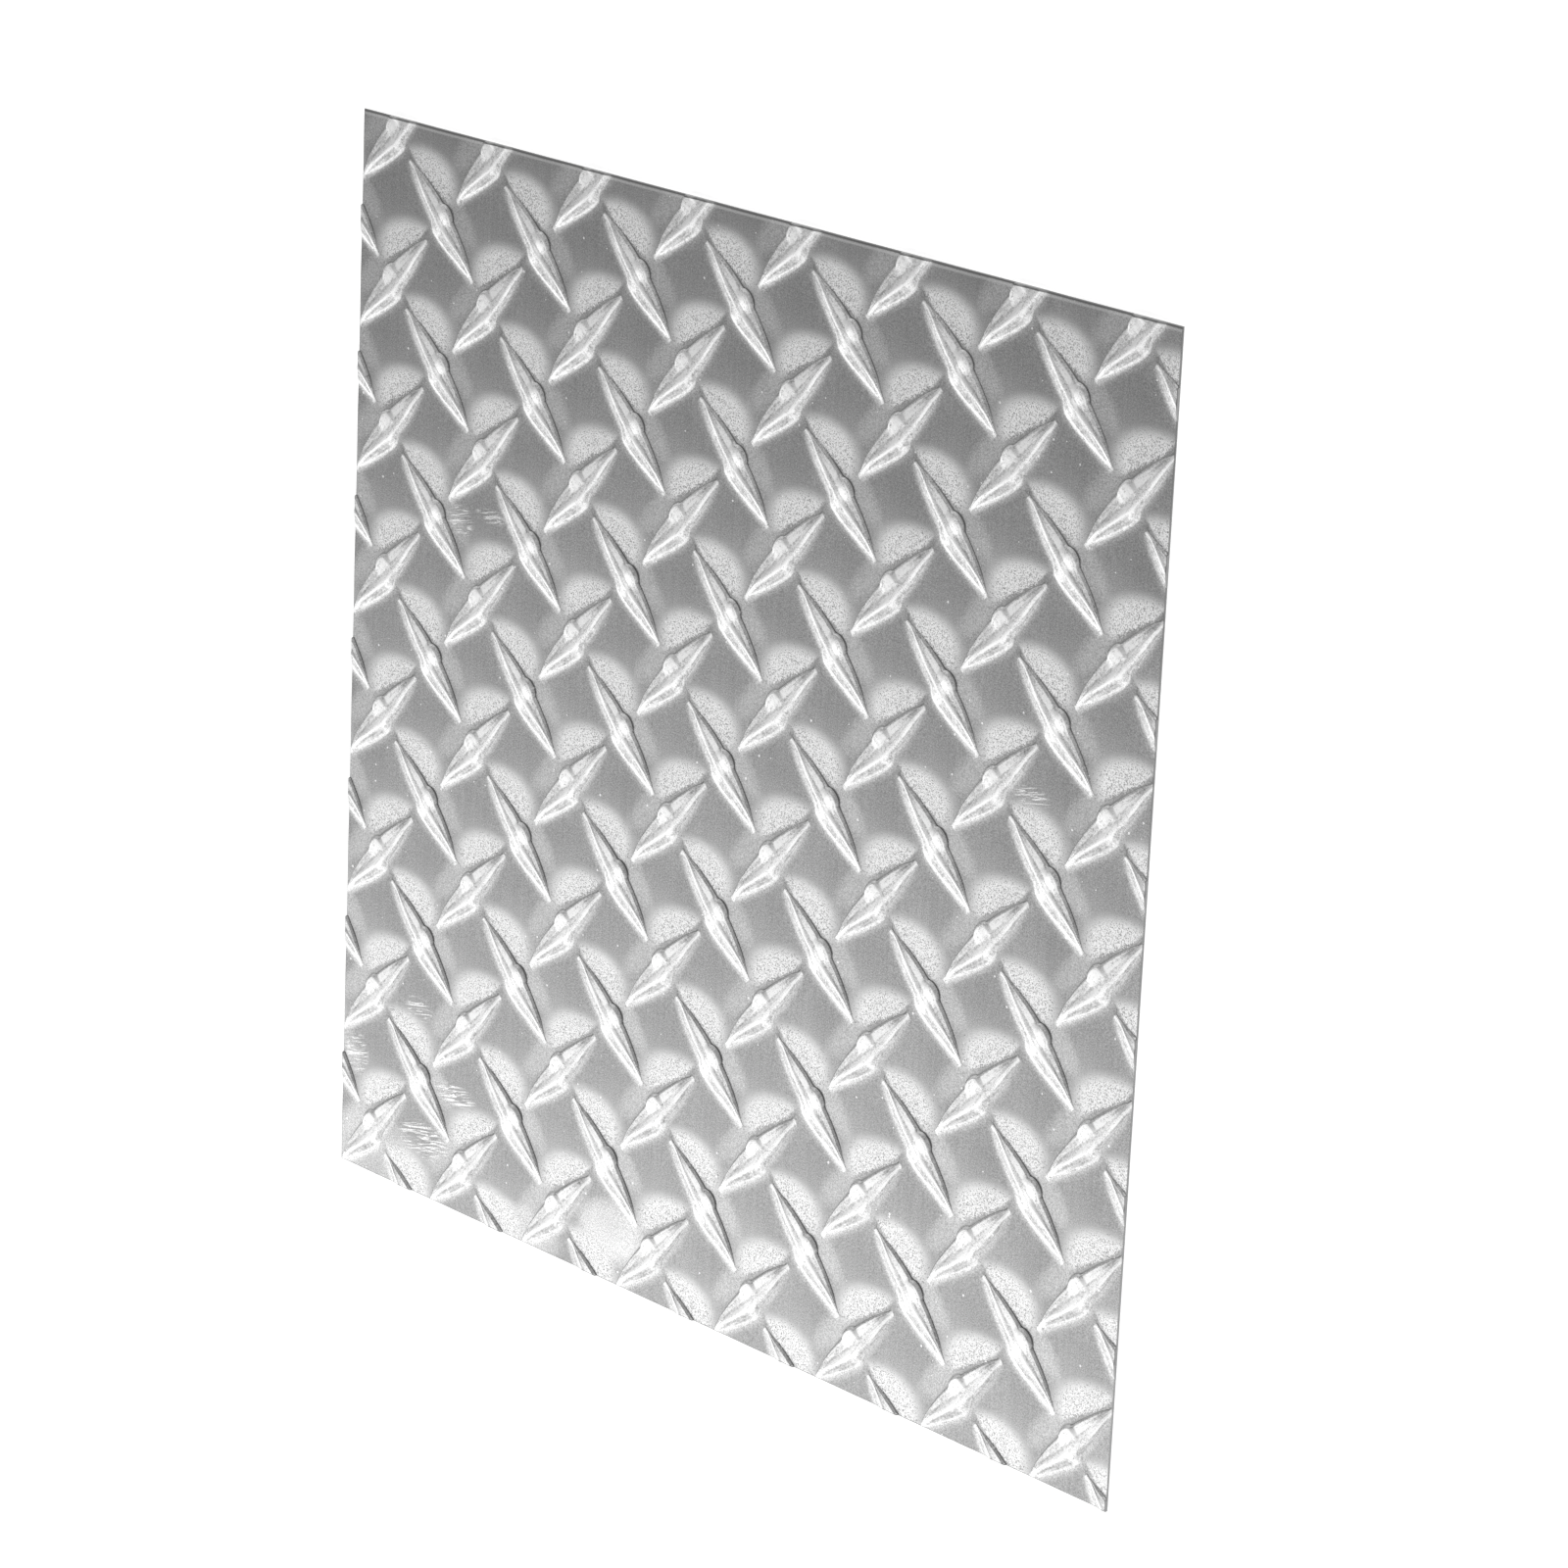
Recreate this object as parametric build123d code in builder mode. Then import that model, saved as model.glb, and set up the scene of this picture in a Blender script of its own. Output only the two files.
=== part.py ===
from build123d import *
import os
from math import atan2, ceil, degrees, hypot

# Aluminium checker plate: one square cut from rolled tread sheet, flat underneath, with raised
# lugs on top. Each lug is slim, with a steep upper side, a sharp ridge, a long slope below the
# ridge and, at its middle, a low knob. The lugs slant by turns to the right and to the left, so
# that each one points at the side of the next.
# The plate lies on XY with its lugs up. The origin is the middle of its flat underside, X runs
# across the sheet and Y along it. Sizes are in millimetres.

# The sheet between its lugs
sheet_width = 250
sheet_length = 250
sheet_thickness = 1.2

# The pattern repeats by one pitch each way. The cut starts anywhere in it, so its place is given
# by the first whole column and the first row of right-slanting lugs.
pitch_across = 32.5
pitch_along = 33.6
first_column = 11.2  # from the left edge to the middle of a right-slanting lug
first_row = 3.7  # from the far edge to the middle of a right-slanting lug

# One lug, in its own directions: along X, with its upper side towards the far edge
tip_gap = 3.8  # from a lug's tip to the foot of the neighbour that it points at
upper_foot = 3.1  # from the middle line to the foot of the upper side
upper_run = 0.3  # of the steep upper side, seen from above
lower_foot = 3.2  # from the middle line to the foot of the lower side
lower_bow = 0.5  # of the lower foot and of the ridge, out from a straight line
corner_proud = 1  # of the lower foot's blunt corner, out of that side
corner_from = -0.8  # along the lug, to the point of that corner
corner_to = 2  # along the lug, to the end of that corner
ridge_drop = 1.1  # from the middle line down to the ridge
tip_run = 1.6  # from the tip of the foot to the tip of the crown
crown_rise = 0.6  # above the sheet

# The knob beside the middle of each lug
knob_diameter = 4.8  # at its foot
knob_sides = 8
knob_offset = 1.5  # from the lug's own middle line, towards the far edge
knob_proud = 0.3  # above the crown
knob_draft = 35  # degrees that its side leans in

lug_rise = crown_rise + knob_proud
lug_slant = degrees(atan2(pitch_along, pitch_across))
lug_length = hypot(pitch_across, pitch_along) - upper_foot - lower_foot - 2 * tip_gap
sheet_top = Plane.XY.offset(sheet_thickness)


def lug_outline(length, upper, lower, corner):
    """A lug from above at one height. Its tips are on X, and its lower side has a blunt corner."""
    tip = length / 2
    with BuildSketch() as outline:
        with BuildLine():
            ThreePointArc((tip, 0), (0, upper), (-tip, 0))
            SagittaArc((-tip, 0), (corner_from, -lower - corner), -lower_bow)
            Line((corner_from, -lower - corner), (corner_to, -lower))
            SagittaArc((corner_to, -lower), (tip, 0), -lower_bow)
        make_face()
    return outline.sketch


def places(first, pitch, size):
    """Distances from one edge of every lug middle that lies on the sheet or one pitch past it."""
    before = ceil(first / pitch)
    count = ceil((size - first) / pitch)
    return [first + step * pitch for step in range(-before, count + 1)]


def lug_middles(across, along):
    """The middles of one kind of lug, from its first place across and along the sheet."""
    return [
        (x - sheet_width / 2, sheet_length / 2 - y)
        for x in places(across, pitch_across, sheet_width)
        for y in places(along, pitch_along, sheet_length)
    ]


with BuildPart() as lug:
    with BuildSketch(sheet_top):
        add(lug_outline(lug_length, upper_foot, lower_foot, corner_proud))
    with BuildSketch(sheet_top.offset(crown_rise)):
        add(lug_outline(lug_length - 2 * tip_run, upper_foot - upper_run, ridge_drop, 0))
    loft(ruled=True)
    with BuildSketch(sheet_top):
        with Locations((0, knob_offset)):
            RegularPolygon(knob_diameter / 2, knob_sides)
    extrude(amount=lug_rise, taper=knob_draft)

with BuildPart() as right_lug:
    add(lug.part, rotation=(0, 0, lug_slant))

with BuildPart() as left_lug:
    mirror(right_lug.part, about=Plane.YZ)

with BuildPart() as checker_plate:
    with BuildSketch():
        Rectangle(sheet_width, sheet_length)
    extrude(amount=sheet_thickness)
    with Locations(*lug_middles(first_column, first_row)):
        add(right_lug.part)
    with Locations(*lug_middles(first_column + pitch_across / 2, first_row + pitch_along / 2)):
        add(left_lug.part)
    # The shears cut the sheet and the lugs on its edges together.
    with BuildSketch():
        Rectangle(sheet_width, sheet_length)
    extrude(amount=sheet_thickness + lug_rise, mode=Mode.INTERSECT)
checker_plate.part.label = "checker_plate"

os.makedirs("parts", exist_ok=True)
export_step(checker_plate.part, "parts/checker_plate.step")
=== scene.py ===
import math

import bmesh
import bpy
from mathutils import Matrix, Vector


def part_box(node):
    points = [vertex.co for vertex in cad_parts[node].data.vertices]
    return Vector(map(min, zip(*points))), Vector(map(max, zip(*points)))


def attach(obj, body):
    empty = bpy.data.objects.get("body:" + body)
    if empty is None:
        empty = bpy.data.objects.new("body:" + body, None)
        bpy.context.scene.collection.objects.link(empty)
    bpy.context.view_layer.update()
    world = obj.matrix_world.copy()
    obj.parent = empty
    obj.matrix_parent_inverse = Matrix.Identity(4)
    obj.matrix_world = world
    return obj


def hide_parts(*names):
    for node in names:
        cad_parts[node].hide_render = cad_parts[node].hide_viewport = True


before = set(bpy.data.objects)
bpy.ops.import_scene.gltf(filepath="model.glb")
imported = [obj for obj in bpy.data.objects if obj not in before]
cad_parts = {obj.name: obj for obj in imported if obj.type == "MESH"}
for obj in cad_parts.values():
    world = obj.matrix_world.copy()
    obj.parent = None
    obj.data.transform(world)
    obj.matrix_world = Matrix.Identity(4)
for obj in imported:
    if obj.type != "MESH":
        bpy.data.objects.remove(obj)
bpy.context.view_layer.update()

MM = 0.001
NODE = "checker_plate"
LOW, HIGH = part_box(NODE)
WIDTH = HIGH.x - LOW.x
LENGTH = HIGH.y - LOW.y

# The sheet between its lugs, and the pattern's pitch and start, as in the part
THICKNESS = 1.2 * MM
PITCH_ACROSS = 32.5 * MM
PITCH_ALONG = 33.6 * MM
FIRST_COLUMN = 11.2 * MM
FIRST_ROW = 3.7 * MM

# A lug in its own directions: along it from its middle, and across it, where up is towards +Y.
# A sharp ridge runs below its middle line, and a broad crown lies between that and its upper side.
LUG_REACH = 16.4 * MM
UPPER_FOOT = 3.0 * MM
UPPER_FULLNESS = 0.9  # of the side: at 1 it would be a plain arc, and it is fuller below that
UPPER_FLANK = 0.15 * MM
UPPER_FLANK_SHARE = 0.35  # of the way down to the ridge: near the tips the flank is no wider
LOWER_FOOT = 3.2 * MM
LOWER_FULLNESS = 0.9
LOWER_TAPER = 0.26 * MM  # how much nearer the foot is on the half towards the upper tip
CORNER = 1.1 * MM  # how far a blunt corner stands out of the lower side
CORNER_FROM = -12.0 * MM
CORNER_AT = -0.3 * MM
CORNER_TO = 2.6 * MM
RIDGE_AT = 2.0 * MM
RIDGE_REACH = 11.0 * MM
RIDGE_BOW = 1.3 * MM
RIDGE_LIFT = 0.4 * MM  # how far the ridge climbs towards the lug's lower tip
RIDGE_LIFT_SPAN = (-7 * MM, -12 * MM)  # where along the lug that climb begins and ends
RIDGE_SHARE = 0.6  # of the way to either foot: the ridge comes no nearer to it
LUG_RISE = 0.5 * MM
TIP_FALL = (0.03, 0.6)  # shares of the lug's full width, between which its rise comes up
KNOB_SHIFT = 0.64 * MM  # along the lug, from its middle to the knob's
KNOB_OFFSET = 2.1 * MM
KNOB_ALONG = 2.7 * MM
KNOB_ACROSS = 1.75 * MM
KNOB_RISE = 0.7 * MM
KNOB_SLOPE = 0.03  # of its top, down towards -Y
RIGHT_LEAN = -0.15 * MM  # how far the lugs that slant to the right lean over, towards +Y
LEFT_LEAN = 0.6 * MM
LEAN_TO_KNOB = (-1.07, 0.4)  # how much of its lean a lug passes on to its knob, along it and across it
LEAN_TO_UPPER_FOOT = 0.3
LEAN_TO_LOWER_FOOT = -0.4
LEAN_TO_FROST = 0.6
HOLLOW = 0.12 * MM  # how far the ground dips round the lugs
WANDER = 0.15 * MM  # how far the rolled lines stray
WANDER_SCALE = 130.0
RISE_WANDER = 0.2  # how much the lugs' rise strays, as a share of it

# The frosted half moon above each lug, also painted pale as a highlight, from the lug's middle. A
# slanting line cuts off its lower side.
FROST_ACROSS = 6.5 * MM
FROST_ALONG = 8.2 * MM
FROST_REACH_ACROSS = 11.2 * MM
FROST_REACH_ALONG = 7.1 * MM
FROST_SLANT = 0.27
FROST_FOOT = 5.45 * MM
FROST_EDGE = (1.45, 0.6)  # the oval's own measure, where its soft edge begins and ends

# The lattice of lugs: one step is half the pattern's diagonal
STEP = math.hypot(PITCH_ACROSS, PITCH_ALONG) / 2
STRIP_REACH = 0.8  # in steps: a lug's strip runs this far each way
STRIP_SIDE = 1 - STRIP_REACH
ROWS_ACROSS = 8  # mesh rows from the middle line to the strip's side
ROWS_GROUND = 12  # mesh rows across a ground square
ROWS_ALONG = ROWS_ACROSS + ROWS_GROUND
LATTICE_REACH = 9
WELD = 0.01 * MM

# Where the strip's mesh rows lie, as shares of the way from one line of the lug to the next
RIDGE_TO_CROWN = [0, 0.15, 0.35, 0.88, 1]
TOP_TO_SIDE = [0, 0.06, 0.35, 1]
RIDGE_TO_BOTTOM = [0, 0.16, 0.36, 0.54, 0.72, 0.88, 1]
BOTTOM_TO_SIDE = [0.35, 1]

# The rows' heights, from the ridge up to the strip's side and down to it, as shares of the lug's rise
UPPER_SECTION = [1, 0.86, 0.8, 0.94, 0.88, 0, -0.04, -0.04, 0]
LOWER_SECTION = [1, 0.88, 0.7, 0.52, 0.34, 0.16, 0.02, -0.04, 0]

# The cut sides: their lower part is painted pale so that it fades into the white floor, and their upper
# edge is dark.
CUT_EDGE = 0.12 * MM
CUT_BRIGHT_TO = 0.8 * MM  # up from the underside
CUT_LINE = 0.3 * MM  # how far the dark edge shows on the rolled face
SHARP_ANGLE = math.radians(35)  # the creases at the cut that are steeper than this stay sharp
BURR_TO = 0.6 * MM  # how far in from the far edge the burr shows dark
BURR_LINE = 0.9 * MM  # how far in the pale line behind it lies

# The finish's textures, in cells to a metre
GRAIN_SCALE = 3300.0
COARSE_SCALE = 1300.0
CLOUD_SCALE = 45.0
STREAK_SCALE = (1400, 30)  # across the sheet and along it
DRAWN_SCALE = (140, 9)  # along a lug, and to its whole width
DUST_SCALE = 260.0
DUST_SHARE = 0.15  # of the dust's cells, those that hold a speck
GROUND_ROUGHNESS = 0.2
FROST_ROUGHNESS = 0.32
GRAIN_DEPTH = 0.02 * MM

# How strongly those textures show
GRAIN_STRENGTH = 1.4
FROST_GRAIN_STRENGTH = 1.7  # on top of that, where the face is frosted
DRAWN_STRENGTH = 0.35
CLOUD_STRENGTH = 0.25
STREAK_STRENGTH = 0.2

# How much light each part of the finish gives back
GROUND_LEVEL = 0.4
# Frosted and rubbed places, and also the pale painted on the frost, the painted pools of light and the
# painted glow
FROST_AND_PAINTED_LIGHT_LEVEL = 0.82
# The lugs are painted in lit and shaded tones: the crown and knob as lit faces, the crown's edge, the
# valley and the lower flank as shaded ones
CROWN_LEVEL = 0.98
CROWN_EDGE_LEVEL = 0.76
VALLEY_LEVEL = 0.55
FLANK_LEVEL = 0.56
KNOB_LEVEL = 0.98
# Worn places, and also the painted highlights on the lugs and the cut side painted pale
WORN_AND_HIGHLIGHT_LEVEL = 0.98
CUT_LEVEL = 0.3
BURR_LEVEL = 0.2

# The finish, one mark over the other: how strongly each shows, and the level that it brings. Most marks
# from the lugs paint light and shade; scuff, rubbed and speck are wear and dust.
ROLLED_LAYERS = [
    ("light_wash", 0.35, FROST_AND_PAINTED_LIGHT_LEVEL),
    ("halo", 0.4, FROST_AND_PAINTED_LIGHT_LEVEL),
    ("scuff", 1, WORN_AND_HIGHLIGHT_LEVEL),
    ("rubbed", 1, FROST_AND_PAINTED_LIGHT_LEVEL),
    ("frost_and_painted_light", 1, FROST_AND_PAINTED_LIGHT_LEVEL),
    ("crease_shade", 1, 0),
    ("bar", 1, CROWN_LEVEL),
    ("edge", 1, CROWN_EDGE_LEVEL),
    ("crown_shade", 0.08, 0),
    ("rim", 0.8, WORN_AND_HIGHLIGHT_LEVEL),
    ("lower", 1, FLANK_LEVEL),
    ("valley", 1, VALLEY_LEVEL),
    ("knob", 1, KNOB_LEVEL),
    ("heel", 0.5, WORN_AND_HIGHLIGHT_LEVEL),
    ("foot", 1, WORN_AND_HIGHLIGHT_LEVEL),
    ("ridge", 1, WORN_AND_HIGHLIGHT_LEVEL),
]
LAST_LAYERS = [
    ("speck", 1, WORN_AND_HIGHLIGHT_LEVEL),
    ("burr line", 0.6, FROST_AND_PAINTED_LIGHT_LEVEL),
    ("burr", 1, BURR_LEVEL),
    ("cut line", 1, CUT_LEVEL),
    ("cut side", 1, WORN_AND_HIGHLIGHT_LEVEL),
]
# How dark the painted shade at the foot of each lug's upper side is
CREASE_SHADE_DARK = 0.35

# Scuffs and rubbed places: the middle of each, its reach across and along the sheet, all in mm,
# and its strength. The scuffs are strokes that run nearly along X.
SCUFF_TURN = math.radians(13)
SCUFF_SCALE = (160, 2300)  # along the strokes and across them
SCUFFS = [
    (-88, 38.5, 5, 4, 1.0),
    (-78, 41.5, 6, 2, 0.7),
    (-98, -80, 5.5, 3.5, 0.8),
    (-84.5, -97, 8, 3, 1.0),
    (-95.5, -111.5, 10, 5, 1.0),
    (-120, -97, 5, 6, 0.8),
    (92, 21, 6, 2.5, 0.8),
]
RUBBED = [
    (-30, -113, 13, 9, 0.75),
    (-112, -120, 22, 12, 0.4),
    (-60, -122, 16, 7, 0.5),
]

# The studio's light: its level all round, then its share from -Y to +Y, from -X to +X, and from
# the horizon to overhead, each as a list of places from 0 to 1 and the levels there
LIGHT = 2.21
SIDE_LIGHT = [
    (0, 0.65),
    (0.2, 0.88),
    (0.275, 1),
    (0.3, 0.92),
    (0.325, 0.77),
    (0.35, 0.63),
    (0.375, 0.48),
    (0.4, 0.315),
    (0.44, 0.31),
    (0.6, 0.39),
    (1, 0.37),
]
FAR_LIGHT = [
    (0, 0.64),
    (0.04, 0.72),
    (0.1, 0.77),
    (0.13, 0.87),
    (0.155, 1),
    (0.17, 1),
    (0.2, 0.94),
    (1, 0.92),
]
HIGH_LIGHT = [
    (0, 1),
    (0.4, 0.97),
    (0.55, 0.84),
    (0.62, 0.75),
    (0.66, 0.69),
    (0.7, 0.57),
    (0.75, 0.5),
    (1, 0.5),
]

# The camera, from the photograph's four corners
CAMERA_AT = Vector((0.8755, 0.3786, 0.8230))
CAMERA_AIM = Vector((0.0196, 0.0049, 0.0012))
CAMERA_ROLL = math.radians(2.6)
CAMERA_LENS = 134.96
CAMERA_SENSOR = 36

FLOOR_RADIUS = 12
FLOOR_GREY = 0.8
FLOOR_GLOW = 0.6


def nearest_start(first, pitch, size):
    """The lug middle nearest to the sheet's own middle, from the first one in from an edge."""
    return first - size / 2 + pitch * round((size / 2 - first) / pitch)


START_X = nearest_start(FIRST_COLUMN, PITCH_ACROSS, WIDTH)
START_Y = -nearest_start(FIRST_ROW, PITCH_ALONG, LENGTH)


class Graph:
    """A node tree that is written as plain maths. It serves the mesh's trees and the finish's."""

    def __init__(self, tree):
        self.tree = tree

    def node(self, kind, settings=None, sockets=None):
        """A node of that kind. Its settings come first, then a value or a link for each socket."""
        made = self.tree.nodes.new(kind)
        for name, value in (settings or {}).items():
            if name == "stops":
                self.stops(made.color_ramp, value)
            else:
                setattr(made, name, value)
        for key, value in (sockets or {}).items():
            source = value.socket if isinstance(value, Number) else value
            if isinstance(source, bpy.types.NodeSocket):
                self.tree.links.new(source, made.inputs[key])
            else:
                made.inputs[key].default_value = source
        return made

    def stops(self, ramp, stops):
        """A grey ramp with these stops, each a place and a level."""
        while len(ramp.elements) < len(stops):
            ramp.elements.new(1)
        for element, (place, level) in zip(ramp.elements, stops):
            element.position = place
            element.color = (level, level, level, 1)

    def number(self, kind, output=0, settings=None, sockets=None):
        return Number(self, self.node(kind, settings, sockets).outputs[output])

    def split(self, vector):
        """The three numbers of a vector socket."""
        parts = self.node("ShaderNodeSeparateXYZ", None, {0: vector})
        return [Number(self, part) for part in parts.outputs]

    def join(self, x, y, z):
        return self.node("ShaderNodeCombineXYZ", None, {0: x, 1: y, 2: z}).outputs[0]


class Number:
    """A number in a node tree. Arithmetic on it adds the Math nodes."""

    def __init__(self, graph, socket):
        self.graph = graph
        self.socket = socket

    def maths(self, operation, *others):
        terms = dict(enumerate((self,) + others))
        return self.graph.number("ShaderNodeMath", settings={"operation": operation}, sockets=terms)

    def swapped(self, operation, other):
        terms = {0: other, 1: self}
        return self.graph.number("ShaderNodeMath", settings={"operation": operation}, sockets=terms)

    def __add__(self, other):
        return self.maths("ADD", other)

    def __radd__(self, other):
        return self.maths("ADD", other)

    def __sub__(self, other):
        return self.maths("SUBTRACT", other)

    def __rsub__(self, other):
        return self.swapped("SUBTRACT", other)

    def __mul__(self, other):
        return self.maths("MULTIPLY", other)

    def __rmul__(self, other):
        return self.maths("MULTIPLY", other)

    def __truediv__(self, other):
        return self.maths("DIVIDE", other)

    def __rtruediv__(self, other):
        return self.swapped("DIVIDE", other)

    def __pow__(self, other):
        return self.maths("POWER", other)

    def __mod__(self, other):
        return self.maths("FLOORED_MODULO", other)

    def __lt__(self, other):
        return self.maths("LESS_THAN", other)

    def __gt__(self, other):
        return self.maths("GREATER_THAN", other)

    def __neg__(self):
        return self.maths("MULTIPLY", -1)

    def __abs__(self):
        return self.maths("ABSOLUTE")

    def least(self, other):
        return self.maths("MINIMUM", other)

    def most(self, other):
        return self.maths("MAXIMUM", other)

    def within(self, low, high):
        return self.most(low).least(high)

    def ease(self, start, end):
        """Runs smoothly from 0 to 1 as the number goes from start to end."""
        if start > end:
            return 1 - self.ease(end, start)
        return self.graph.number(
            "ShaderNodeMapRange",
            settings={"interpolation_type": "SMOOTHSTEP"},
            sockets={"Value": self, "From Min": start, "From Max": end},
        )

    def line(self, middle, half_width):
        """A soft line: 1 where the number is at the middle, and 0 from a half width off it."""
        return abs(self - middle).ease(half_width, 0)


def blend(share, first, second):
    """The first number where share is 0 and the second where it is 1."""
    return first + share * (second - first)


def squared(across, along, reach_across, reach_along):
    """0 at the middle of an oval, and 1 on its rim."""
    return (across / reach_across) ** 2 + (along / reach_along) ** 2


def fullness(along, power):
    """The share of a lug's full width that it has at a distance along it."""
    share = (abs(along) / LUG_REACH).least(1)
    return (1 - share * share) ** power


def knob_middle(lean):
    """The middle of a lug's knob, along the lug and across it."""
    return KNOB_SHIFT + LEAN_TO_KNOB[0] * lean, KNOB_OFFSET + LEAN_TO_KNOB[1] * lean


def from_knob(along, across, lean):
    """0 at the middle of the lug's oval knob, and 1 on its rim."""
    middle_along, middle_across = knob_middle(lean)
    return squared(along - middle_along, across - middle_across, KNOB_ALONG, KNOB_ACROSS) ** 0.5


def upper_foot(along, lean):
    """From a lug's middle line up to the foot of its upper side, which swells out round the knob."""
    middle_along, middle_across = knob_middle(lean)
    past = (along - middle_along) / KNOB_ALONG
    swell = (abs(past) < 1) * (middle_across + KNOB_ACROSS * (1 - past * past).most(0) ** 0.5)
    foot = UPPER_FOOT + LEAN_TO_UPPER_FOOT * lean
    return (foot * fullness(along, UPPER_FULLNESS)).most(swell)


def lower_foot(along, lean):
    """From a lug's middle line down to the foot of its lower side, which has one blunt corner."""
    corner = along.ease(CORNER_FROM, CORNER_AT) * along.ease(CORNER_TO, CORNER_AT)
    foot = LOWER_FOOT + LEAN_TO_LOWER_FOOT * lean - LOWER_TAPER * along.ease(0, 4 * MM)
    return foot * fullness(along, LOWER_FULLNESS) + CORNER * corner


def ridge_line(along, lean):
    """How far the ridge is above a lug's middle line. It bows down below the knob."""
    share = (abs(along - RIDGE_AT) / RIDGE_REACH).least(1)
    bowed = lean - RIDGE_BOW * (1 - share * share) ** 1.5 + RIDGE_LIFT * along.ease(*RIDGE_LIFT_SPAN)
    lowest = -RIDGE_SHARE * lower_foot(along, lean)
    return bowed.most(lowest).least(RIDGE_SHARE * upper_foot(along, lean))


def knots(value, levels):
    """Straight runs between the levels that a value has at 0, 1, 2 and so on."""
    total = 0
    for place in range(len(levels) - 1):
        total = total + (value - place).within(0, 1) * (levels[place + 1] - levels[place])
    return total + levels[0]


def shares(start, end, places):
    """The numbers that lie at these shares of the way from start to end."""
    return [start + (end - start) * place for place in places]


def lug_strip(graph, lean):
    """One lug and the ground at its foot, in lattice steps, with its mesh rows along its lines."""
    grid = graph.node(
        "GeometryNodeMeshGrid",
        None,
        {
            "Size X": 2.0 * ROWS_ALONG,
            "Size Y": 2.0 * ROWS_ACROSS,
            "Vertices X": 2 * ROWS_ALONG + 1,
            "Vertices Y": 2 * ROWS_ACROSS + 1,
        },
    )
    column, row, _ = graph.split(graph.node("GeometryNodeInputPosition").outputs[0])
    side = STRIP_SIDE * STEP
    inner = abs(column).least(ROWS_ACROSS) * (side / ROWS_ACROSS)
    outer = (abs(column) - ROWS_ACROSS).most(0) * ((STRIP_REACH * STEP - side) / ROWS_GROUND)
    along = column.maths("SIGN") * (inner + outer)

    upper = row > 0
    ridge = ridge_line(along, lean)
    top = upper_foot(along, lean)
    crown = top - ((top - ridge) * UPPER_FLANK_SHARE).least(UPPER_FLANK)
    bottom = -lower_foot(along, lean)
    upwards = shares(ridge, crown, RIDGE_TO_CROWN) + shares(top, side, TOP_TO_SIDE)
    downwards = shares(ridge, bottom, RIDGE_TO_BOTTOM) + shares(bottom, -side, BOTTOM_TO_SIDE)
    on_lug = blend(upper, knots(abs(row), downwards), knots(abs(row), upwards))
    free = abs(along).ease(LUG_REACH - 0.8 * MM, STRIP_REACH * STEP)
    across = blend(free, on_lug, row * (side / ROWS_ACROSS))

    section = blend(upper, knots(abs(row), LOWER_SECTION), knots(abs(row), UPPER_SECTION))
    bar = section * (fullness(along, 1).ease(*TIP_FALL) * LUG_RISE)
    slope = KNOB_SLOPE * (across - KNOB_OFFSET + along)
    knob = (KNOB_RISE + slope) * (1 - from_knob(along, across, lean) ** 20).most(0) ** 0.5

    return graph.node(
        "GeometryNodeSetPosition",
        None,
        {
            "Geometry": grid.outputs["Mesh"],
            "Position": graph.join(along / STEP, across / STEP, bar.most(knob)),
        },
    ).outputs[0]


def mirrored(graph, strip):
    """A left-slanting lug: the strip with its two lattice directions swapped."""
    along, across, height = graph.split(graph.node("GeometryNodeInputPosition").outputs[0])
    swapped = graph.node(
        "GeometryNodeSetPosition",
        None,
        {"Geometry": strip, "Position": graph.join(across, along, height)},
    )
    return graph.node("GeometryNodeFlipFaces", None, {"Mesh": swapped.outputs[0]}).outputs[0]


def ground_square(graph):
    """The ground between four lugs, in lattice steps, beside the lug at the start."""
    size = STRIP_REACH - STRIP_SIDE
    grid = graph.node(
        "GeometryNodeMeshGrid",
        None,
        {
            "Size X": size,
            "Size Y": size,
            "Vertices X": ROWS_GROUND + 1,
            "Vertices Y": ROWS_GROUND + 1,
        },
    )
    return graph.node(
        "GeometryNodeSetPosition", None, {"Geometry": grid.outputs["Mesh"], "Offset": (0.5, 0.5, 0)}
    ).outputs[0]


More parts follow.
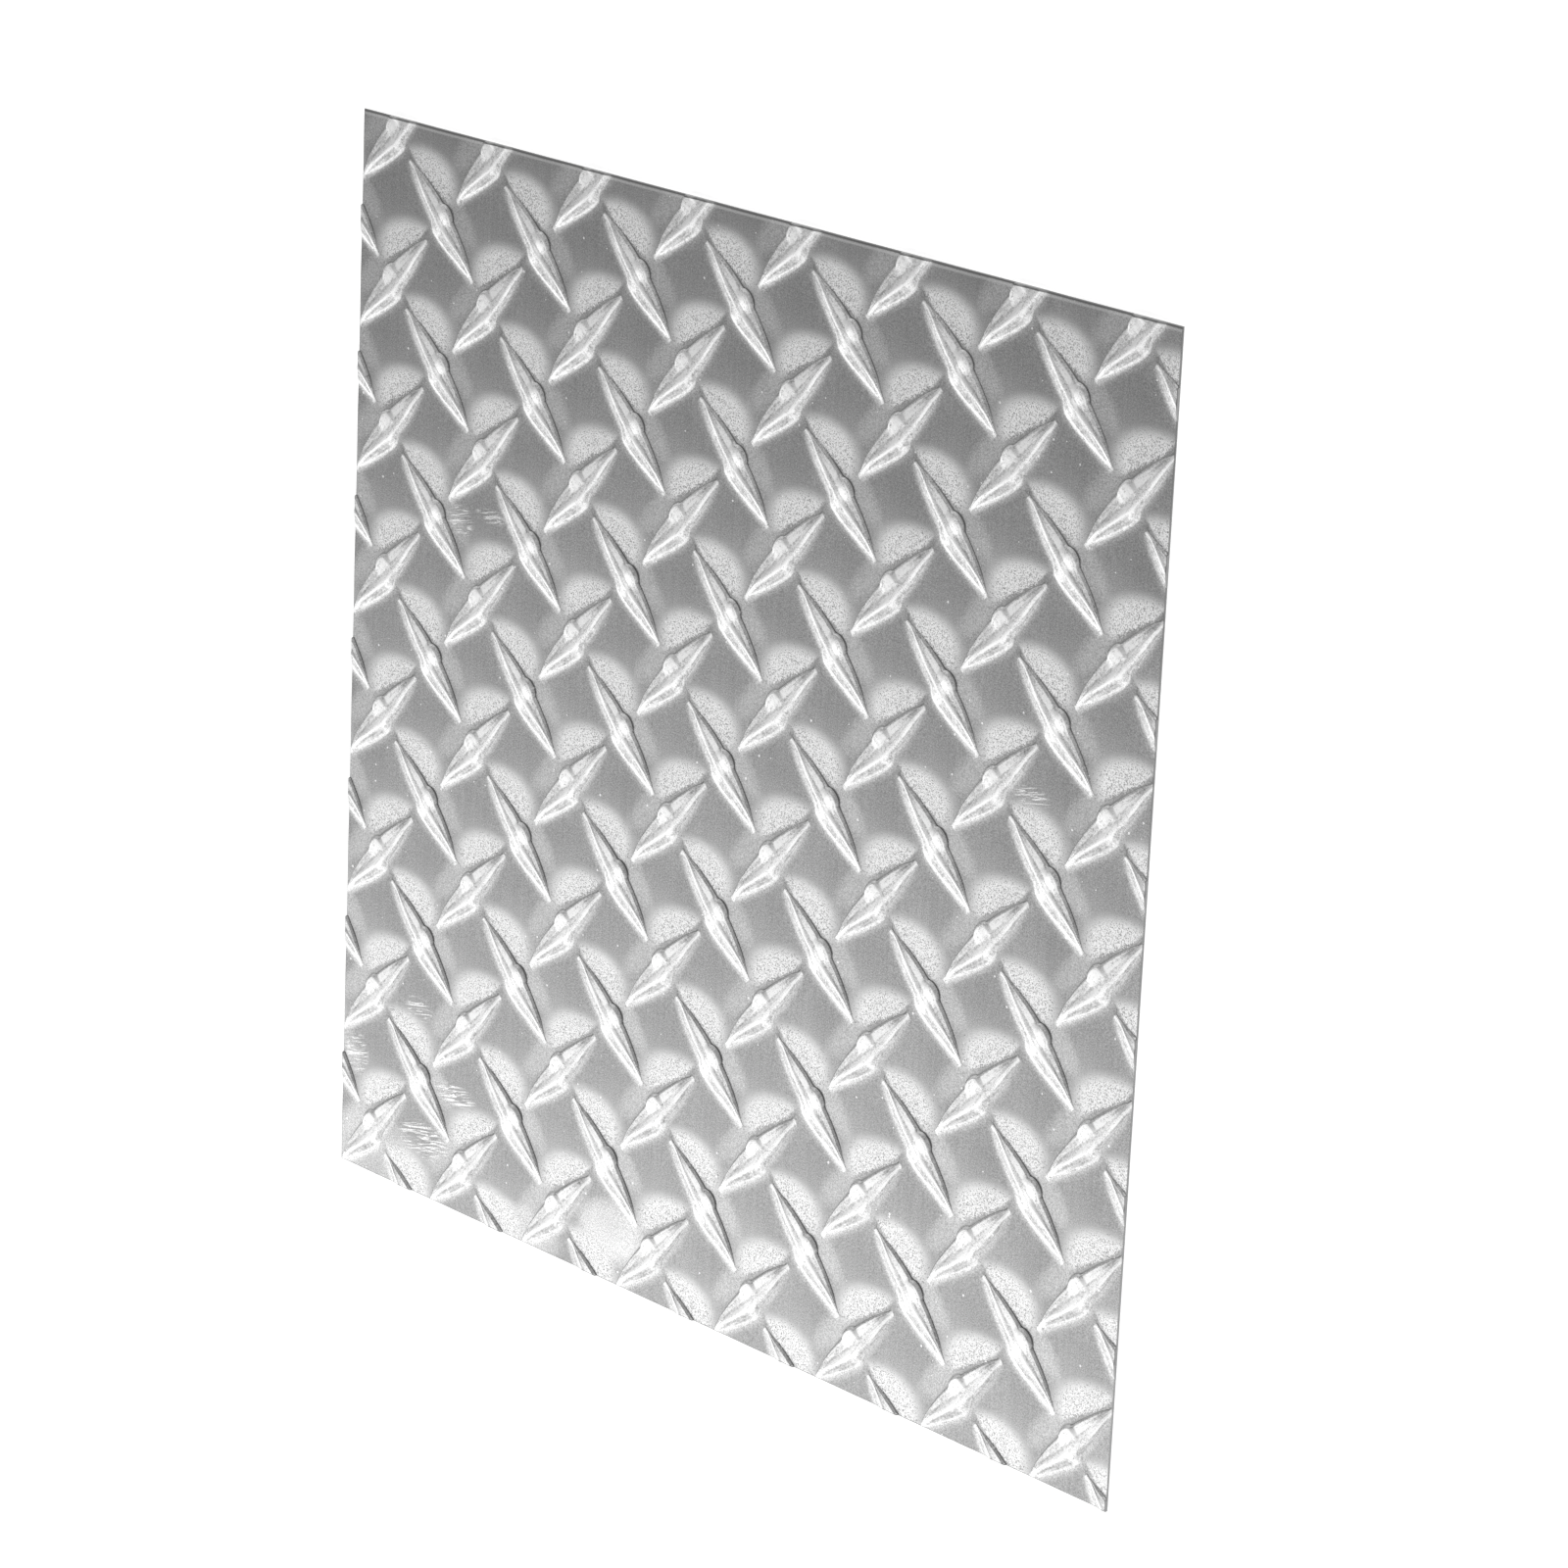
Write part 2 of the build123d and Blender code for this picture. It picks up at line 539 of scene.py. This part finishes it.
def tread_tree():
    """The rolled face of the sheet: lugs and ground squares laid by turns on a slanting lattice."""
    tree = bpy.data.node_groups.new("rolled_tread", "GeometryNodeTree")
    tree.interface.new_socket("Mesh", in_out="OUTPUT", socket_type="NodeSocketGeometry")
    for name in ("Width", "Length", "Thickness", "Pitch across", "Pitch along", "Start X", "Start Y"):
        tree.interface.new_socket(name, in_out="INPUT", socket_type="NodeSocketFloat")
    tree.interface.new_socket("Seed", in_out="INPUT", socket_type="NodeSocketFloat")
    tree.interface.new_socket("Finish", in_out="INPUT", socket_type="NodeSocketMaterial")
    graph = Graph(tree)
    sizes = graph.node("NodeGroupInput").outputs
    width, length, thickness, pitch_x, pitch_y, start_x, start_y, seed = [
        Number(graph, sizes[place]) for place in range(8)
    ]

    lattice = graph.node(
        "GeometryNodeMeshGrid",
        None,
        {
            "Size X": 2.0 * LATTICE_REACH,
            "Size Y": 2.0 * LATTICE_REACH,
            "Vertices X": 2 * LATTICE_REACH + 1,
            "Vertices Y": 2 * LATTICE_REACH + 1,
        },
    ).outputs["Mesh"]
    first, second, height = graph.split(graph.node("GeometryNodeInputPosition").outputs[0])
    x = start_x + (first - second) * pitch_x * 0.5
    y = start_y + (first + second) * pitch_y * 0.5
    near = (abs(x) < width * 0.5 + STEP) * (abs(y) < length * 0.5 + STEP)
    left = ((first + second + 0.5) % 2) > 1

    pieces = [
        (lug_strip(graph, RIGHT_LEAN), near * (1 - left)),
        (mirrored(graph, lug_strip(graph, LEFT_LEAN)), near * left),
        (ground_square(graph), near),
    ]
    laid = graph.node("GeometryNodeJoinGeometry")
    for piece, wanted in pieces:
        placed = graph.node(
            "GeometryNodeInstanceOnPoints",
            None,
            {"Points": lattice, "Instance": piece, "Selection": wanted},
        )
        tree.links.new(placed.outputs[0], laid.inputs[0])
    real = graph.node("GeometryNodeRealizeInstances", None, {0: laid.outputs[0]}).outputs[0]

    dip = (first * math.pi).maths("SINE") * (second * math.pi).maths("SINE")
    ground = HOLLOW * (dip * dip - 1)
    stray = graph.node(
        "ShaderNodeTexNoise",
        {"noise_dimensions": "4D"},
        {"Vector": graph.join(x, y, 0.0), "W": seed, "Scale": WANDER_SCALE, "Detail": 2.0},
    ).outputs["Color"]
    stray_x, stray_y, stray_z = graph.split(stray)
    moved = graph.node(
        "GeometryNodeSetPosition",
        None,
        {
            "Geometry": real,
            "Position": graph.join(
                x + (stray_x - 0.5) * WANDER * 2,
                y + (stray_y - 0.5) * WANDER * 2,
                thickness + ground + height * (1 + (stray_z - 0.5) * RISE_WANDER),
            ),
        },
    ).outputs[0]
    welded = graph.node("GeometryNodeMergeByDistance", None, {"Geometry": moved, "Distance": WELD})
    smooth = graph.node("GeometryNodeSetShadeSmooth", None, {"Geometry": welded.outputs[0]})
    finished = graph.node(
        "GeometryNodeSetMaterial", None, {"Geometry": smooth.outputs[0], "Material": sizes["Finish"]}
    )
    graph.node("NodeGroupOutput", None, {0: finished.outputs[0]})
    return tree


def rolled_mesh(finish):
    """The rolled face as a plain mesh, somewhat larger than the sheet."""
    tree = tread_tree()
    blank = bpy.data.objects.new("rolled_blank", bpy.data.meshes.new("rolled_blank"))
    bpy.context.scene.collection.objects.link(blank)
    roll = blank.modifiers.new("roll", "NODES")
    roll.node_group = tree
    values = {
        "Width": WIDTH,
        "Length": LENGTH,
        "Thickness": THICKNESS,
        "Pitch across": PITCH_ACROSS,
        "Pitch along": PITCH_ALONG,
        "Start X": START_X,
        "Start Y": START_Y,
        "Seed": 4.0,
        "Finish": finish,
    }
    for item in tree.interface.items_tree:
        if item.in_out == "INPUT":
            roll[item.identifier] = values[item.name]
    bpy.context.view_layer.update()
    mesh = bpy.data.meshes.new_from_object(blank.evaluated_get(bpy.context.evaluated_depsgraph_get()))
    blank.modifiers.clear()
    bpy.data.objects.remove(blank)
    mesh.materials.clear()
    mesh.materials.append(finish)
    return mesh


def pulled(bm, edges, inset, level):
    """Draws a closed rim out to a new one, at that inset from the sheet's sides and at a new height."""
    made = bmesh.ops.extrude_edge_only(bm, edges=edges)["geom"]
    rim = [item for item in made if isinstance(item, bmesh.types.BMVert)]
    for vert in rim:
        for axis, size in ((0, WIDTH), (1, LENGTH)):
            if abs(vert.co[axis]) > size / 2 - 1.5 * CUT_EDGE:
                vert.co[axis] = math.copysign(size / 2 - inset, vert.co[axis])
        vert.co.z = level(vert.co.z)
    return [edge for edge in made if isinstance(edge, bmesh.types.BMEdge)]


def sheared(mesh):
    """Cuts the rolled face to the sheet's size, with its edges broken, and closes its underside."""
    bm = bmesh.new()
    bm.from_mesh(mesh)
    for axis, size in ((0, WIDTH), (1, LENGTH)):
        for side in (-1, 1):
            normal = Vector((0, 0, 0))
            normal[axis] = side
            bmesh.ops.bisect_plane(
                bm,
                geom=bm.verts[:] + bm.edges[:] + bm.faces[:],
                dist=0.005 * MM,
                plane_co=normal * (size / 2 - CUT_EDGE),
                plane_no=normal,
                clear_outer=True,
            )
    rim = [edge for edge in bm.edges if edge.is_boundary]
    rim = pulled(bm, rim, 0, lambda z: z - CUT_EDGE)
    rim = pulled(bm, rim, 0, lambda z: CUT_EDGE)
    rim = pulled(bm, rim, CUT_EDGE, lambda z: 0)
    bmesh.ops.holes_fill(bm, edges=rim, sides=0)
    bmesh.ops.recalc_face_normals(bm, faces=bm.faces[:])
    for edge in bm.edges:
        if len(edge.link_faces) == 2 and edge.calc_face_angle(0) > SHARP_ANGLE:
            place = edge.verts[0].co
            on_face = abs(place.x) < WIDTH / 2 - 2 * CUT_EDGE
            edge.smooth = on_face and abs(place.y) < LENGTH / 2 - 2 * CUT_EDGE
    for face in bm.faces:
        face.smooth = True
    bm.to_mesh(mesh)
    bm.free()
    return mesh


def drawn(along, share):
    """Fine lines that the rolls drew along a lug, and that meet at its tips."""
    graph = along.graph
    lines = graph.number(
        "ShaderNodeTexNoise",
        settings={"noise_dimensions": "2D"},
        sockets={
            "Vector": graph.join(along * DRAWN_SCALE[0], share * DRAWN_SCALE[1], 0.0),
            "Scale": 1.0,
        },
    )
    return lines.ease(0.3, 0.7)


def lug_marks(columns, rows, turn, lean, stray):
    """Where the finish, and the light and shade painted on it, change on a lug and on the ground round
    it, each from 0 to 1.

    The lug is the nearest one that slants this way, and its middle is where both are 0.5. Each mark
    keeps to one of the lug's own lines, and the sizes in mm say how near to it.
    """
    right = (columns % 1 - 0.5) * turn
    up = rows % 1 - 0.5
    along = (up + right) * STEP
    across = (up - right) * STEP
    top = upper_foot(along, lean)
    bottom = -lower_foot(along, lean)
    ridge = ridge_line(along, lean)
    on_length = abs(along).ease(LUG_REACH, LUG_REACH - 0.4 * MM)
    above = across - top
    below = across - bottom
    inside = above.ease(0.1 * MM, -0.2 * MM) * below.ease(-0.15 * MM, 0.1 * MM) * on_length
    past_ridge = across - ridge
    valley = past_ridge + 0.4 * ridge - 0.8 * MM  # a shallow groove up the crown, beside the ridge
    oval = squared(
        right * PITCH_ACROSS - FROST_ACROSS,
        up * PITCH_ALONG - FROST_ALONG,
        FROST_REACH_ACROSS,
        FROST_REACH_ALONG,
    )
    frost_foot = across + FROST_SLANT * along - FROST_FOOT + LEAN_TO_FROST * lean + stray * MM
    frost_foot = frost_foot.least(across - 1.6 * MM)
    light_wash = squared(along + 3.5 * MM, across - 5.8 * MM, 10 * MM, 4 * MM)
    heel = squared(along, across + 2.4 * MM, 2.8 * MM, 1.8 * MM)
    foot_highlight = 0.45 + 0.5 * lean / MM  # a lug that leans over more gets a brighter painted highlight along its lower foot
    return {
        # The lug's face, painted at the level of a lit crown
        "bar": inside,
        "drawn": drawn(along, below / (top - bottom)) * inside,
        # A painted highlight along the upper foot, towards the lower tip
        "rim": above.line(-0.7 * MM, 0.7 * MM) * along.ease(-5 * MM, -10 * MM) * on_length,
        # Painted shade over the crown's half towards the lower tip
        "crown_shade": along.ease(1 * MM, -5 * MM) * inside,
        # Painted shade along the crown's upper edge
        "edge": above.ease(-1.5 * MM, -0.2 * MM) * inside,
        # Painted shade in the groove beside the ridge
        "valley": valley.line(0, 0.7 * MM) * inside * along.ease(5 * MM, -2 * MM).most(0.5),
        # Painted shade over the lower flank
        "lower": past_ridge.ease(-0.3 * MM, -0.8 * MM) * inside,
        # A painted highlight along the lower foot
        "foot": below.line(0.35 * MM, 0.6 * MM) * along.ease(6 * MM, -2 * MM) * on_length * foot_highlight,
        "heel": heel.ease(1, 0.2) * inside,
        # A painted highlight along the ridge
        "ridge": past_ridge.line(-0.2 * MM, 0.85 * MM) * on_length,
        # The knob, painted at the level of a lit face
        "knob": from_knob(along, across, lean).ease(1, 0.8),
        # Painted shade at the foot of the lug's upper side
        "crease_shade": above.line(0.1 * MM, 0.45 * MM) * along.line(2 * MM, 10 * MM),
        # Frosted, and painted pale as a highlight
        "frost_and_painted_light": (oval + stray).ease(*FROST_EDGE) * frost_foot.ease(-0.5 * MM, 0.5 * MM),
        # A painted pool of light on the ground beside the lug
        "light_wash": light_wash.ease(1, 0),
        # A painted glow on the ground below the lower foot
        "halo": below.ease(-2 * MM, 0) * across.ease(0.5 * MM, -0.5 * MM) * on_length,
    }


def patches(x, y, places):
    """How strongly a point lies in the listed oval places."""
    total = 0
    for middle_x, middle_y, reach_x, reach_y, strength in places:
        oval = squared(x - middle_x * MM, y - middle_y * MM, reach_x * MM, reach_y * MM)
        total = total + oval.ease(1, 0.2) * strength
    return total.least(1)


def scuffed(graph, x, y):
    """Short pale strokes, all in one direction, where the plate was knocked and rubbed."""
    stroke_along = x * math.cos(SCUFF_TURN) + y * math.sin(SCUFF_TURN)
    stroke_across = y * math.cos(SCUFF_TURN) - x * math.sin(SCUFF_TURN)
    strokes = graph.number(
        "ShaderNodeTexNoise",
        settings={"noise_dimensions": "2D"},
        sockets={
            "Vector": graph.join(stroke_along * SCUFF_SCALE[0], stroke_across * SCUFF_SCALE[1], 0.0),
            "Scale": 1.0,
            "Distortion": 0.8,
        },
    )
    return strokes.ease(0.52, 0.6) * patches(x, y, SCUFFS)


def edge_marks(x, y, z):
    """Where the cut shows: a burr along the far edge, a dark line all round, and sides painted pale."""
    from_far_edge = LENGTH / 2 - y
    from_edges = (WIDTH / 2 - abs(x)).least(LENGTH / 2 - abs(y))
    return {
        "burr line": from_far_edge.line(BURR_LINE, 0.5 * MM),
        "burr": from_far_edge.ease(BURR_TO, BURR_TO - 0.2 * MM),
        "cut line": from_edges.ease(CUT_LINE, CUT_LINE / 2),
        # The cut's lower part, painted pale so that it fades into the white floor
        "cut side": z.ease(CUT_BRIGHT_TO, CUT_BRIGHT_TO - 0.1 * MM),
    }


def layered(level, mark, layers):
    """The level with each layer's mark laid over it in turn."""
    for name, strength, brought in layers:
        level = blend(mark[name] * strength, level, brought)
    return level


def bright_aluminium():
    """Rolled aluminium: grey ground, lugs painted in lit and shaded tones, and a frosted half moon above
    each, also painted pale.
    """
    material = bpy.data.materials.new("rolled_aluminium")
    material.use_nodes = True
    material.node_tree.nodes.clear()
    graph = Graph(material.node_tree)
    place = graph.node("ShaderNodeTexCoord").outputs["Object"]
    x, y, z = graph.split(place)

    grain, coarse, cloud = [
        graph.number("ShaderNodeTexNoise", sockets={"Vector": place, "Scale": scale}) - 0.5
        for scale in (GRAIN_SCALE, COARSE_SCALE, CLOUD_SCALE)
    ]
    streak = graph.number(
        "ShaderNodeTexNoise",
        settings={"noise_dimensions": "2D"},
        sockets={
            "Vector": graph.join(x * STREAK_SCALE[0], y * STREAK_SCALE[1], 0.0),
            "Scale": 1.0,
        },
    )
    streak = streak - 0.5
    dust = graph.node(
        "ShaderNodeTexVoronoi", {"voronoi_dimensions": "2D"}, {"Vector": place, "Scale": DUST_SCALE}
    ).outputs
    speck_size = (graph.split(dust["Color"])[0] - (1 - DUST_SHARE)).most(0) * 0.5

    columns = (x - START_X) / PITCH_ACROSS
    rows = (y - START_Y) / PITCH_ALONG
    stray = grain * 2
    right_marks = lug_marks(columns + 0.5, rows + 0.5, 1, RIGHT_LEAN, stray)
    left_marks = lug_marks(columns, rows, -1, LEFT_LEAN, stray)
    mark = {name: right_marks[name].most(left_marks[name]) for name in right_marks}

    # The painted shade at the upper foot, broken up by the grain
    mark["crease_shade"] = mark["crease_shade"] * (CREASE_SHADE_DARK + 2 * grain)
    mark["scuff"] = scuffed(graph, x, y)
    mark["rubbed"] = patches(x, y, RUBBED)
    mark["speck"] = Number(graph, dust["Distance"]) < speck_size
    mark.update(edge_marks(x, y, z))

    level = GROUND_LEVEL * (1 + CLOUD_STRENGTH * cloud + STREAK_STRENGTH * streak)
    level = layered(level, mark, ROLLED_LAYERS)
    grains = grain * (GRAIN_STRENGTH + FROST_GRAIN_STRENGTH * mark["frost_and_painted_light"])
    grains = grains + coarse * (mark["bar"] - 0.8 * mark["ridge"])
    level = level * (1 + grains + DRAWN_STRENGTH * (mark["drawn"] - 0.5 * mark["bar"]))
    level = layered(level, mark, LAST_LAYERS)

    bump = graph.node(
        "ShaderNodeBump",
        None,
        {"Height": grain, "Distance": GRAIN_DEPTH, "Strength": 0.5},
    )
    shader = graph.node(
        "ShaderNodeBsdfPrincipled",
        None,
        {
            "Base Color": level.within(0, 0.98),
            "Metallic": 1.0,
            "Roughness": blend(mark["frost_and_painted_light"].most(mark["bar"]), GROUND_ROUGHNESS, FROST_ROUGHNESS),
            "Normal": bump.outputs[0],
        },
    )
    graph.node("ShaderNodeOutputMaterial", None, {"Surface": shader.outputs[0]})
    return material


def checker_plate():
    """The whole plate, in place of its plain solid of the same name."""
    finish = bright_aluminium()
    mesh = sheared(rolled_mesh(finish))
    mesh.name = "rolled_plate"
    plate = bpy.data.objects.new("rolled_plate", mesh)
    bpy.context.scene.collection.objects.link(plate)
    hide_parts(NODE)
    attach(plate, "root")
    return plate


def camera():
    """The photograph's view: the plate fills the frame from its upper right."""
    data = bpy.data.cameras.new("camera")
    data.lens = CAMERA_LENS
    data.sensor_width = CAMERA_SENSOR
    made = bpy.data.objects.new("camera", data)
    bpy.context.scene.collection.objects.link(made)
    ahead = (CAMERA_AIM - CAMERA_AT).normalized()
    right = ahead.cross(Vector((0, 1, 0))).normalized()
    turn = Matrix((right, right.cross(ahead), -ahead)).transposed().to_4x4()
    roll = Matrix.Rotation(CAMERA_ROLL, 4, "Z")
    made.matrix_world = Matrix.Translation(CAMERA_AT) @ turn @ roll
    bpy.context.scene.camera = made


def floor():
    """A plain white floor that still shows the plate's shadow."""
    bm = bmesh.new()
    bmesh.ops.create_circle(bm, cap_ends=True, segments=96, radius=FLOOR_RADIUS)
    mesh = bpy.data.meshes.new("floor")
    bm.to_mesh(mesh)
    bm.free()
    made = bpy.data.objects.new("floor", mesh)
    bpy.context.scene.collection.objects.link(made)
    material = bpy.data.materials.new("white_floor")
    material.use_nodes = True
    material.node_tree.nodes.clear()
    graph = Graph(material.node_tree)
    ray = graph.node("ShaderNodeLightPath").outputs
    seen = Number(graph, ray["Is Camera Ray"]).most(Number(graph, ray["Is Glossy Ray"]))
    seen = seen.most(Number(graph, ray["Is Transmission Ray"]))
    paint = graph.node("ShaderNodeBsdfDiffuse", None, {"Color": (FLOOR_GREY, FLOOR_GREY, FLOOR_GREY, 1)})
    glow = graph.node("ShaderNodeEmission", None, {"Color": (1, 1, 1, 1), "Strength": seen * FLOOR_GLOW})
    both = graph.node("ShaderNodeAddShader", None, {0: paint.outputs[0], 1: glow.outputs[0]})
    graph.node("ShaderNodeOutputMaterial", None, {"Surface": both.outputs[0]})
    mesh.materials.append(material)


def studio():
    """Soft light: a wide bright side towards -Y that falls off to a darker side towards +Y."""
    world = bpy.data.worlds.new("studio")
    bpy.context.scene.world = world
    world.use_nodes = True
    world.node_tree.nodes.clear()
    graph = Graph(world.node_tree)
    x, y, z = graph.split(graph.node("ShaderNodeTexCoord").outputs["Generated"])
    level = LIGHT * graph.number("ShaderNodeValToRGB", 0, {"stops": FAR_LIGHT}, {0: (x + 1) / 2})
    level = level * graph.number("ShaderNodeValToRGB", 0, {"stops": SIDE_LIGHT}, {0: (y + 1) / 2})
    level = level * graph.number("ShaderNodeValToRGB", 0, {"stops": HIGH_LIGHT}, {0: z})
    light = graph.node("ShaderNodeBackground", None, {"Color": (1, 1, 1, 1), "Strength": level})
    graph.node("ShaderNodeOutputWorld", None, {"Surface": light.outputs[0]})


camera()
floor()
studio()
checker_plate()
bpy.context.scene.view_settings.view_transform = "Standard"
